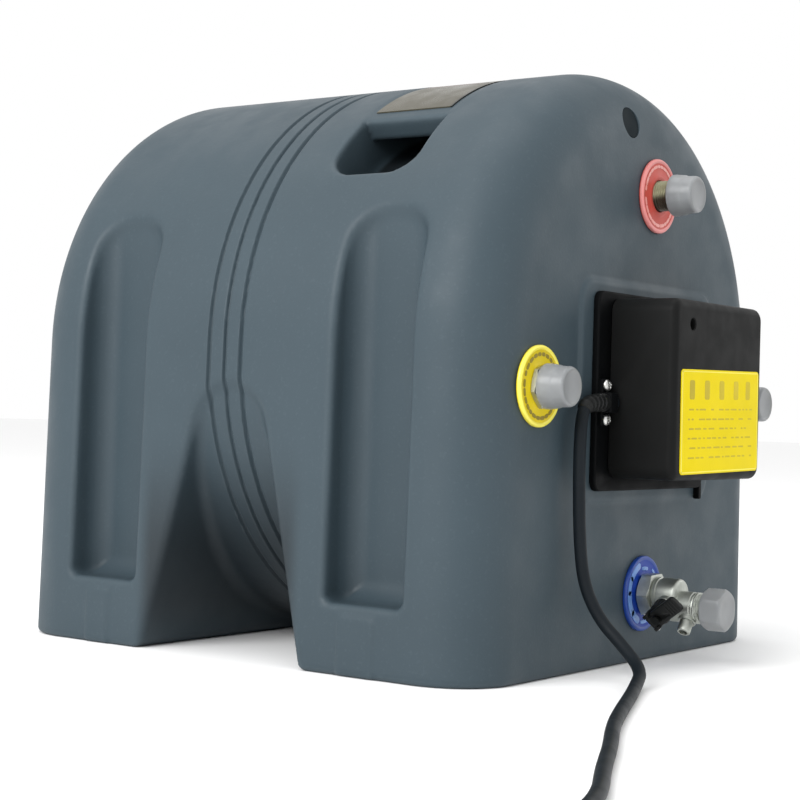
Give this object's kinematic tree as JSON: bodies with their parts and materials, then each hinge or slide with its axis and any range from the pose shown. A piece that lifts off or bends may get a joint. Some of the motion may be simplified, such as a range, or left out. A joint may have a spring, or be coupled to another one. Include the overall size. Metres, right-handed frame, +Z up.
{
  "type": "electric water heater",
  "caption": "Arch-shaped electric water heater for a camper or boat, with moulded feet, carry recess, threaded pipe connections with caps, safety valve, control box and mains cord.",
  "frame": {"origin": "on the floor, under the middle of the heater's overall width and length without its cord", "axes": "-Y out of the front face with the connections and the control box, +X to the right seen from the front, +Z up"},
  "size_m": [0.7476, 0.7753, 0.3999],
  "materials": {
    "casing_plastic": "satin",
    "rigid_foam": "matte",
    "stainless": "satin",
    "seal_rubber": "matte",
    "zinc_steel": "satin",
    "dark_steel": "satin",
    "spring_steel": "satin",
    "element_sheath": "satin",
    "brass": "satin",
    "aged_brass": "satin",
    "copper": "satin",
    "nickel": "satin",
    "white_plastic": "matte",
    "red_plastic": "satin",
    "blue_plastic": "satin",
    "yellow_plastic": "satin",
    "yellow_film": "satin",
    "cap_plastic": "satin",
    "black_plastic": "satin",
    "dark_plastic": "satin",
    "plate_plastic": "satin",
    "bakelite": "satin",
    "cord_rubber": "satin",
    "brown_wire": "satin",
    "blue_wire": "satin",
    "green_wire": "satin"
  },
  "bodies": {
    "boiler": {"casing": "casing_plastic", "foam_insulation": "rigid_foam", "tank_shell": "stainless", "tank_front_end": "stainless", "tank_rear_end": "stainless", "tank_flange_neck": "stainless", "flange_gasket": "seal_rubber", "element_flange": "stainless", "flange_bolts": "zinc_steel", "heating_elements": "element_sheath", "element_terminals": "brass", "thermowell": "stainless", "thermostat_bulb": "copper", "heat_exchanger_tube": "stainless", "cold_diffuser": "white_plastic", "hot_pickup_tube": "white_plastic", "hot_nipple": "aged_brass", "cold_nipple": "nickel", "side_nipples": "nickel", "hot_rosette": "red_plastic", "cold_rosette": "blue_plastic", "side_rosettes": "yellow_plastic", "side_port_nuts": "nickel", "valve_body": "nickel", "check_spring": "spring_steel", "relief_bonnet": "black_plastic", "lever_pin": "spring_steel", "relief_spring": "spring_steel", "foam_port_plug": "dark_plastic", "handle_plate": "plate_plastic", "box_base": "black_plastic", "box_gasket": "seal_rubber", "box_cover": "black_plastic", "cover_screw": "dark_steel", "yellow_plate": "yellow_film", "cord_clamp": "black_plastic", "clamp_screws": "zinc_steel", "cord_tail": "cord_rubber", "terminal_block": "white_plastic", "terminal_screws": "zinc_steel", "earth_stud": "brass", "thermostat_body": "bakelite", "thermal_cutout": "bakelite", "reset_spring": "spring_steel", "live_wire": "brown_wire", "neutral_wire": "blue_wire", "earth_wire": "green_wire", "power_cord": "cord_rubber", "cord_coil": "cord_rubber", "mains_plug": "black_plastic", "plug_pins": "nickel"},
    "cap_on_hot": {"hot_cap": "cap_plastic"},
    "cap_on_left": {"left_cap": "cap_plastic"},
    "cap_on_right": {"right_cap": "cap_plastic"},
    "cap_on_cold": {"cold_cap": "cap_plastic"},
    "lever": {"relief_lever": "black_plastic"},
    "relief_stem": {"relief_spindle": "brass"},
    "check_valve": {"check_poppet": "white_plastic"},
    "reset": {"reset_button": "red_plastic"}
  },
  "joints": [
    {"name": "hot_cap_pull", "type": "slide", "parent": "boiler", "child": "cap_on_hot", "axis": [0, -1, 0], "range_m": [0, 0.03]},
    {"name": "left_cap_pull", "type": "slide", "parent": "boiler", "child": "cap_on_left", "axis": [0, -1, 0], "range_m": [0, 0.03]},
    {"name": "right_cap_pull", "type": "slide", "parent": "boiler", "child": "cap_on_right", "axis": [0, -1, 0], "range_m": [0, 0.03]},
    {"name": "cold_cap_pull", "type": "slide", "parent": "boiler", "child": "cap_on_cold", "axis": [0, -1, 0], "range_m": [0, 0.02]},
    {"name": "lever_lift", "type": "hinge", "parent": "boiler", "child": "lever", "pos_m": [-0.0133, -0.18527, 0.03037], "axis": [0.3885, -0.6157, -0.6856], "range_deg": [0, 14], "stiffness_Nm_per_rad": 0.01, "springref_deg": -2.86},
    {"name": "relief_lift", "type": "slide", "parent": "boiler", "child": "relief_stem", "axis": [-0.87, 0, -0.493], "range_m": [0, 0.00146], "deforming": ["relief_spring"]},
    {"name": "check_open", "type": "slide", "parent": "boiler", "child": "check_valve", "axis": [0, 1, 0], "range_m": [0, 0.003], "stiffness_N_per_m": 120, "springref_m": -0.001, "deforming": ["check_spring"]},
    {"name": "reset_press", "type": "slide", "parent": "boiler", "child": "reset", "axis": [0, 1, 0], "range_m": [0, 0.0015], "stiffness_N_per_m": 400, "springref_m": -0.001, "deforming": ["reset_spring"]}
  ],
  "couplings": [
    {"joint": "lever_lift", "follows": "relief_lift", "rad_per_m": 166.67}
  ]
}
